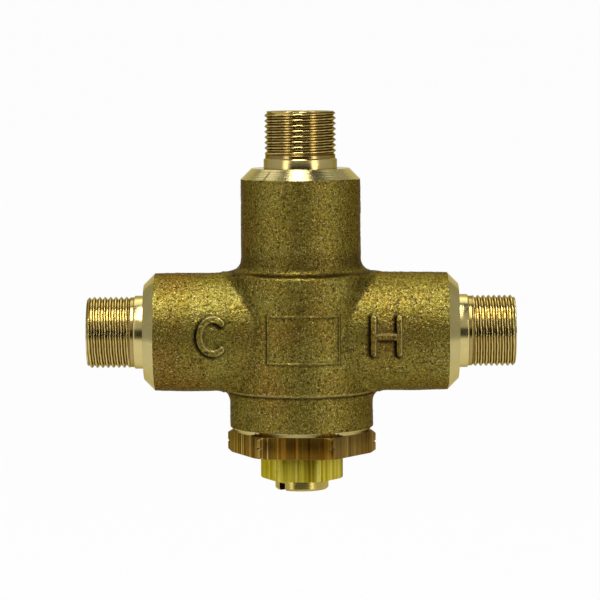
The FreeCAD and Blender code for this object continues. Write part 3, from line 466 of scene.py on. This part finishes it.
# Raised marks on the front. Each is its strokes, half their width, their rise, how much grime and painted shade lies
# round them, and how much wear and painted highlight shows on them. They are cold's letter, hot's letter, an empty
# frame and a short bar.
MARKS = [
    (arc(-17.1, 0.1, 2.6, 3.3, 50, 310), 0.66, 0.62, 1.0, 0.65),
    (line((13.95, 3.45), (13.95, -3.3)) + line((18.95, 3.45), (18.95, -3.3)) + line((13.95, -0.15), (18.95, -0.15)),
     0.62, 0.62, 1.0, 0.65),
    (line((-6.5, 4.0), (7.4, 4.0), (7.4, -5.1), (-6.5, -5.1), (-6.5, 4.0)), 0.16, 0.2, 0.6, 0.1),
    (line((17.9, -7.2), (20.2, -7.0)), 0.1, 0.25, 0.3, 0.1),
]


def crease_distance(x, y, z):
    """How far a point is from the line where an inlet arm runs into the barrel."""
    turn = np.arctan2(z - AXIS_Z, np.abs(y))
    line_y = ARM * np.cos(turn)
    line_x = np.sqrt(BARREL ** 2 - line_y ** 2)
    line_z = AXIS_Z + ARM * np.sin(turn)
    return np.sqrt((np.abs(x) - line_x) ** 2 + (np.abs(y) - line_y) ** 2 + (z - line_z) ** 2)


def filled_skin():
    """The CAD body, filled and run on past its machined ends, in small voxels and with its edges eased."""
    root = -(THREAD + COLLAR_LONG)
    in_barrel, in_arm = 12.4, 10.2      # radii that fill the casting and stay inside its skin
    barrel_end = -35
    fill = [(0, SEAT - 1.2), (BARREL, SEAT - 1.2), (BARREL, SEAT + CHAMFER + 2), (in_barrel, SEAT + CHAMFER + 3),
            (in_barrel, barrel_end), (in_arm, barrel_end), (in_arm, root - CONE - 3), (NECK, root - CONE - 2),
            (NECK, root + 0.8), (0, root + 0.8)]
    arm_fill = [(0, 2), (in_arm, 2), (in_arm, REACH + root - CONE - 3), (ARM, REACH + root - CONE - 2),
                (ARM, REACH + root + 0.8), (0, REACH + root + 0.8)]
    skin = [object_from("skin", node_faces("valve_body")), lathe("fill", fill, 160)]
    body = joined("cast_body", skin + [turned(lathe("fill", arm_fill, 160), place) for place in (TO_HOT, TO_COLD)])
    remesh = body.modifiers.new("remesh", "REMESH")
    remesh.mode = "VOXEL"
    remesh.voxel_size = 0.35 * MM
    baked(body)
    x, y, z = points(body).T / MM
    at_rim = (np.hypot(x, y) > 13.1) & (np.abs(z - SHOULDER) < 2.0) & (np.abs(x) < 14.5)
    body.vertex_groups.new(name="rim").add(np.nonzero(at_rim)[0].tolist(), 1.0, "REPLACE")
    for group, times in (("", 4), ("rim", 20)):
        ease = body.modifiers.new("ease", "SMOOTH")
        ease.factor = 0.5
        ease.iterations = times
        ease.vertex_group = group
    baked(body)
    return body


def split_for_marks(body):
    """Smaller faces for the letters, the frame and the step."""
    bm = bmesh.new()
    bm.from_mesh(body.data)
    near_letters, near_lines = [], []
    for edge in bm.edges:
        x, y, z = (edge.verts[0].co + edge.verts[1].co) / 2 / MM
        if y < FRONT and 12.8 < abs(x) < 20.8 and abs(z - AXIS_Z) < 4.9:
            near_letters.append(edge)
        elif y < FRONT and -7.3 < x < 8.2 and -5.9 < z - AXIS_Z < 4.8:
            near_lines.append(edge)
        elif abs(z - STEP) < 0.9 and math.hypot(x, y) > 13:
            near_lines.append(edge)
    bmesh.ops.subdivide_edges(bm, edges=near_letters, cuts=2, use_grid_fill=True)
    bmesh.ops.subdivide_edges(bm, edges=[edge for edge in near_lines if edge.is_valid], cuts=1, use_grid_fill=True)
    bmesh.ops.triangulate(bm, faces=[face for face in bm.faces if len(face.verts) > 4])
    bm.to_mesh(body.data)
    bm.free()


def tighten_neck(co):
    """At the front and back the neck meets the barrel in a tighter curve than it meets the arms."""
    x, y, z = co.T / MM
    around = np.hypot(x, y)
    h = z - SHOULDER
    target = np.interp(h, [-2, 0, 2.45, 6], [-2, -0.4, 0.8, 6])
    weight = smooth_step(np.abs(y) / np.maximum(around, 1), 0.55, 0.85) * (np.abs(h - 2) < 4) * (around > 11.2)
    co[:, 2] += weight * (target - h) * MM


def relief(co, no):
    """How far each point of the skin moves out: the sand's grain, the creases, the step and the raised marks."""
    lift = np.empty(len(co))
    for i, up in enumerate(no[:, 2]):
        p = Vector(co[i])
        waves = noise.noise(p * 150) * 0.10 + noise.noise(p * 700) * 0.05
        coarseness = 0.06 + 0.05 * max(up, 0) - 0.02 * max(-up, 0)      # most on faces that look up
        lift[i] = waves + noise.noise(p * 1700) * coarseness
    x, y, z = co.T / MM
    around = np.hypot(x, y)
    drum = (around > BARREL - 1.2) * (np.abs(no[:, 2]) < 0.9)
    below_step = (1 - smooth_step(z, STEP - 0.12, STEP + 0.12)) * drum
    lip = bell(z, STEP + 0.32, 0.3) * drum
    crease = bell(crease_distance(x, y, z), 0, 0.8)
    on_barrel = 0.01 - 0.22 * below_step + 0.13 * lip
    lift += -0.10 * np.abs(no[:, 1]) - 0.16 * crease + np.where(around < BARREL + 1, on_barrel, 0.02)
    for strokes, half, rise, _, _ in MARKS:
        gap = distance_to(x, z, strokes) - half
        lift += rise * (1 - smooth_step(gap, -0.16, 0.16)) * (y < FRONT) * smooth_step(-no[:, 1], 0.3, 0.6)
    return lift


def painted_light_and_grime(body):
    """Point attributes for the skin's material: grime and painted shade in the creases, under the step, at the neck's
    foot and on the lower left of the marks; wear and a painted highlight on the step's lip and the upper right of the
    marks.
    """
    x, y, z = points(body).T / MM
    around = np.hypot(x, y)
    drum = (around > BARREL - 1) & (around < BARREL + 0.2)
    neck_foot = smooth_step(z, SHOULDER + 0.2, SHOULDER + 1.4) * (1 - smooth_step(z, SHOULDER + 2.0, SHOULDER + 5.5))
    # Painted shade along the creases where the arms meet the barrel, more of it higher up; a painted shadow under the
    # step; painted shade on the neck's foot and along the crease round the shoulder.
    grime = np.maximum.reduce([
        bell(crease_distance(x, y, z), 0, 0.7) * (0.3 + 0.35 * smooth_step(z, AXIS_Z + 1, AXIS_Z + 7)),
        0.85 * drum * bell(z, STEP - 0.26, 0.24),
        0.28 * neck_foot * (around < NECK + 1.2),
        0.6 * (around < BARREL) * bell(z, SHOULDER, 0.3)])
    # Painted highlight along the lip above the step.
    wear_and_painted_highlight = 0.25 * drum * bell(z, STEP + 0.2, 0.18)
    nudge = 0.05
    for strokes, half, rise, grime_and_shade, wear_and_highlight in MARKS:
        gap = distance_to(x, z, strokes) - half
        right = (distance_to(x + nudge, z, strokes) - half - gap) / nudge
        up = (distance_to(x, z + nudge, strokes) - half - gap) / nudge
        lit = np.clip(0.5 + 0.8 * (0.8 * right + 0.45 * up), 0, 1)      # 1 on a stroke's upper right
        reach = min(rise, 0.4)
        band = smooth_step(gap, -0.2, 0.02) * (1 - smooth_step(gap, 0.4 * reach, 0.2 + 2.0 * reach))
        crown = smooth_step(gap, -0.45, -0.05) * (1 - smooth_step(gap, 0.0, 0.12))
        # Painted shade on each mark's lower left side, and a painted highlight on the upper right of its crown, both
        # set by lit.
        grime = np.maximum(grime, grime_and_shade * band * (1 - 0.85 * lit) * (y < FRONT))
        wear_and_painted_highlight = np.maximum(wear_and_painted_highlight, wear_and_highlight * crown * lit * (y < FRONT))
    for name, values in (("grime", grime), ("wear_and_painted_highlight", wear_and_painted_highlight)):
        body.data.attributes.new(name, "FLOAT", "POINT").data.foreach_set("value", values)


def cast_body():
    """The CAD body's skin, roughened as a casting and then machined again at its ends and inside."""
    body = filled_skin()
    split_for_marks(body)
    co = points(body)
    tighten_neck(co)
    move_points(body, co)
    no = points(body, "normal")
    co += no * (relief(co, no) * MM)[:, None]
    co[:, 1] = np.clip(co[:, 1], -BARREL * MM, BARREL * MM)
    move_points(body, co)
    wear_only(body, MATERIALS["cast"])
    tools = [("cone", end_tool(0)), ("cone_x", turned(end_tool(REACH), TO_HOT)),
             ("cone_x", turned(end_tool(REACH), TO_COLD)), ("cone", foot_tool())]
    for material, tool in tools + [("cone", void) for void in body_voids()]:
        tool.data.materials.append(MATERIALS[material])
        cut(body, tool)
    painted_light_and_grime(body)
    shade(body, 40)
    return body


# ---------------------------------------------------------------- ports
def port_piece(name, place, material):
    """Collar, helical thread, chamfered end, and the socket's mouth. Heights are counted down from the end face."""
    segments, rings_per_pitch = 160, 14
    foot, collar_top = -(THREAD + COLLAR_LONG), -THREAD
    lead = 0.2                          # where the helix starts
    runout = PORT - 0.12                # the thread fades to this radius at the collar
    angles = [2 * math.pi * k / segments for k in range(segments)]

    def thread(height, angle):
        phase = ((height - lead) / PITCH - angle / (2 * math.pi)) % 1
        tooth = 1 - abs(2 * phase - 1)
        tooth = min(max((tooth - 0.1) / 0.78, 0), 1)
        radius = PORT - THREAD_DEPTH + THREAD_DEPTH * tooth
        fade = min(max((height - collar_top - 0.55) / 0.6, 0), 1)
        radius = runout - (runout - radius) * fade if fade < 1 else radius
        return min(radius, PORT - 0.5 - height) if height > -0.55 else radius

    behind = [(COLLAR - 2.2, foot - 0.6), (COLLAR, foot - 0.6), (COLLAR, foot + 0.02), (COLLAR, collar_top - 0.3),
              (COLLAR - 0.06, collar_top - 0.14), (runout, collar_top + 0.02)]
    inside = [(MOUTH + 0.1, 0.0), (MOUTH, -0.05), (SOCKET, -3.0), (SOCKET, foot - 0.6)]
    heights = list(np.arange(collar_top, -1e-6, PITCH / rings_per_pitch))[1:] + [0.0]
    bm = bmesh.new()
    rings = [[bm.verts.new(circle(radius, height, angle)) for angle in angles] for radius, height in behind]
    rings += [[bm.verts.new(circle(thread(height, angle), height, angle)) for angle in angles] for height in heights]
    rings += [[bm.verts.new(circle(radius, height, angle)) for angle in angles] for radius, height in inside]
    for a, b in zip(rings, rings[1:] + rings[:1]):
        for k in range(segments):
            n = (k + 1) % segments
            bm.faces.new((a[k], a[n], b[n], b[k]))
    bmesh.ops.recalc_face_normals(bm, faces=bm.faces)
    obj = turned(object_from(name, bm), place)
    obj.data.materials.append(material)
    shade(obj, 40)
    return obj


# ---------------------------------------------------------------- bar-stock pieces
def eased_copy(name, node, width, material, level):
    """A copy of a CAD node with its flat faces merged and its edges rounded. With level, its flats shade flat."""
    bm = node_faces(node)
    bmesh.ops.dissolve_limit(bm, angle_limit=math.radians(0.5), verts=bm.verts, edges=bm.edges)
    obj = object_from(name, bm)
    bevel = obj.modifiers.new("ease", "BEVEL")
    bevel.width = width * MM
    bevel.segments = 2
    bevel.limit_method = "ANGLE"
    bevel.angle_limit = math.radians(25)
    bevel.use_clamp_overlap = True
    baked(obj)
    wear_only(obj, material)
    shade(obj, 25)
    if level:
        weighted = obj.modifiers.new("level", "WEIGHTED_NORMAL")
        weighted.keep_sharp = True
        baked(obj)
    return obj


def second_finish(piece, material, chosen):
    """Give the chosen faces a second material."""
    piece.data.materials.append(material)
    for face in piece.data.polygons:
        face.material_index = int(chosen(face))


def in_slot(face):
    """Whether a face of the spindle is in its slot."""
    turn = math.radians(SLOT_TURN)
    middle = face.center / MM
    across = abs(middle.dot(Vector((math.cos(turn), math.sin(turn), 0))))
    return across < SLOT_HALF and middle.z < SPINDLE_END + SLOT_DEEP and math.hypot(middle.x, middle.y) < SPINDLE - 0.1


def front_flat(face):
    """Whether a face of the bonnet is one of its flats at the front."""
    return abs(face.normal.y) > 0.8 and abs(face.normal.z) < 0.3 and face.center.y < 0


body = cast_body()
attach(body, "root")
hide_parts("valve_body")

TO_END = Matrix.Translation((0, 0, REACH * MM))
for name, place, material in (("outlet_thread", Matrix.Identity(4), "thread"),
                              ("hot_thread", TO_HOT @ TO_END, "thread_x"),
                              ("cold_thread", TO_COLD @ TO_END, "thread_x")):
    piece = port_piece(name, place, MATERIALS[material])
    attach(piece, "root")

for name, node, width, material, ride_on, slot in (
        ("hex_bonnet", "bonnet", 0.12, "bonnet", "root", "bonnet_bronze"),
        ("hex_lock_nut", "lock_nut", 0.12, "nut", "lock_nut", "nut_brass"),
        ("slotted_spindle", "adjusting_spindle", 0.08, "spindle", "spindle", "spindle_brass")):
    piece = eased_copy(name, node, width, MATERIALS[material], level=node == "adjusting_spindle")
    if node == "adjusting_spindle":
        # The faces in the slot get the painted shade.
        second_finish(piece, MATERIALS["slot_painted_shade"], in_slot)
    if node == "bonnet":
        # The front flats take the copy with the painted reflection.
        second_finish(piece, MATERIALS["bonnet_front_painted_reflection"], front_flat)
    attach(piece, ride_on)
    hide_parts(node)


# ---------------------------------------------------------------- CAD nodes that stay, and the springs
SLOT_MATERIALS = {
    "turned_brass": plain_metal("turned_brass_bar", linear(200, 176, 104), linear(220, 198, 128)),
    "element_copper": plain_metal("element_copper_cup", linear(190, 118, 84), linear(212, 142, 104)),
    "spring_steel": plain_metal("spring_steel_wire", linear(172, 172, 174), linear(200, 200, 202), (0.2, 0.3)),
    "seal_rubber": moulded("seal_rubber_black", linear(22, 22, 23), linear(34, 34, 35), (0.5, 0.65)),
    "shuttle_plastic": moulded("shuttle_plastic_dark", linear(52, 52, 56), linear(66, 66, 70)),
    "check_plastic": moulded("check_plastic_white", linear(214, 214, 206), linear(230, 230, 222), (0.3, 0.45)),
    "element_wax": moulded("element_wax_charge", linear(196, 174, 120), linear(212, 190, 140)),
    "cast_bronze": MATERIALS["cast"], "bonnet_bronze": MATERIALS["bonnet"], "nut_brass": MATERIALS["nut"],
    "spindle_brass": MATERIALS["spindle"],
}
for node in frame["nodes"].values():
    for index, old in enumerate(list(node.data.materials)):
        if old and old.name.split(".")[0] in SLOT_MATERIALS:
            node.material_slots[index].link = "OBJECT"
            node.material_slots[index].material = SLOT_MATERIALS[old.name.split(".")[0]]


def pressed_springs():
    """The springs that one joint only presses. Each is copied in spring steel and carried by the body that holds it.
    """
    behaviour = frame["record"]["behaviour"]
    for joint in behaviour["joints"]:
        for row in joint.get("deforming_nodes", []):
            if joint["range_m"][0] < 0:
                continue
            node, letter = row["node"], row["mode"][-1]
            along = "xyz".index(letter)
            fixed = row[f"fixed_end_{letter}_m"]
            length = max(abs(corner[along] - fixed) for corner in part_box(node))
            coils = new_object(f"{node}_coils", frame["nodes"][node].data.copy())
            wear_only(coils, SLOT_MATERIALS["spring_steel"])
            shade(coils, 40)
            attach(coils, next(body for body, nodes in behaviour["bodies"].items() if node in nodes))
            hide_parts(node)
            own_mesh(coils)


pressed_springs()


# ---------------------------------------------------------------- stage, lights and camera, all in metres
def backdrop():
    """A floor that sweeps up into a wall. It shows as near white, and keeps some of the object's shadow."""
    front, floor, back, half_width, sweep, top = -0.28, -0.14, 0.9, 0.6, 0.4, 1.6
    curve = [math.radians(90 * k / 12) for k in range(1, 13)]
    profile = [(front, floor), (back - sweep, floor)]
    profile += [(back - sweep + sweep * math.sin(a), floor + sweep - sweep * math.cos(a)) for a in curve]
    profile.append((back, top))
    bm = bmesh.new()
    rows = [[bm.verts.new((x, y, z)) for x in (-half_width, half_width)] for y, z in profile]
    for a, b in zip(rows, rows[1:]):
        bm.faces.new((a[0], a[1], b[1], b[0])).smooth = True
    obj = object_from("backdrop", bm)
    n = Finish("backdrop_paper", Base_Color=(0.86, 0.86, 0.86, 1), Roughness=0.9)
    ray = n.new("LightPath").outputs
    seen = n.math("MAXIMUM", n.math("MAXIMUM", ray["Is Camera Ray"], ray["Is Transmission Ray"]), ray["Is Glossy Ray"])
    glow = n.wire(n.new("Emission"), {"Strength": 0.985})
    paper = n.wire(n.new("MixShader"), {0: n.math("MULTIPLY", seen, 0.95), 1: n.shader.outputs[0], 2: glow})
    n.tree.links.new(paper, n.out.inputs[0])
    obj.data.materials.append(n.material)


def lamp(name, place, width, height, watts):
    """A soft box that faces the middle of the object."""
    data = bpy.data.lights.new(name, "AREA")
    data.shape = "RECTANGLE"
    data.size, data.size_y = width, height
    data.energy = watts
    obj = new_object(name, data)
    obj.location = place
    obj.rotation_mode = "QUATERNION"
    obj.rotation_quaternion = (Vector((0, 0, -0.04)) - Vector(place)).to_track_quat("-Z", "Y")


def light_tent():
    """A soft grey tent, darker in front, where the camera stands, and round the lamp overhead."""
    grey, dark_grey = 0.5, 0.02
    world = bpy.data.worlds.new("tent")
    world.use_nodes = True
    n = Nodes(world.node_tree, "Generated")

    def eased(*span):
        return n.span(*span, kind="SMOOTHSTEP")
    x, y, z = n.split()
    front = eased(y, -0.72, -0.56, 1.0, 0.0)
    level = eased(n.math("ABSOLUTE", z), 0.16, 0.30, 1.0, 0.0)
    overhead = n.math("MULTIPLY", eased(z, 0.80, 0.93, 0.0, 1.0), 0.8)
    dark = n.math("MAXIMUM", n.math("MULTIPLY", front, level), overhead)
    background = n.tree.nodes["Background"].inputs
    n.tree.links.new(eased(dark, 0.0, 1.0, grey, dark_grey), background["Strength"])
    background["Color"].default_value = (1, 1, 0.98, 1)
    return world


def photo_camera():
    """The photograph's view: from the front and a little above, with a roll of a fraction of a degree."""
    data = bpy.data.cameras.new("camera")
    data.sensor_width = 36
    data.lens = 180
    data.clip_start, data.clip_end = 0.05, 10
    camera = new_object("camera", data)
    camera.location = (-0.0002, -0.588, 0.0117)
    down, roll = 4.745, -0.3            # degrees
    camera.rotation_euler = (Matrix.Rotation(math.radians(90 - down), 3, "X")
                             @ Matrix.Rotation(math.radians(roll), 3, "Z")).to_euler()
    return camera


backdrop()
lamp("left_box", (-0.62, -0.60, 0.10), 0.22, 0.8, 1.6)
lamp("right_box", (0.62, -0.60, 0.10), 0.22, 0.8, 2.2)
lamp("top_box", (-0.09, -0.36, 0.86), 0.34, 0.8, 8.4)
lamp("back_box", (-0.05, 0.42, 0.75), 0.9, 0.5, 2.2)
scene.world = light_tent()
scene.camera = photo_camera()
scene.view_settings.view_transform = "Standard"
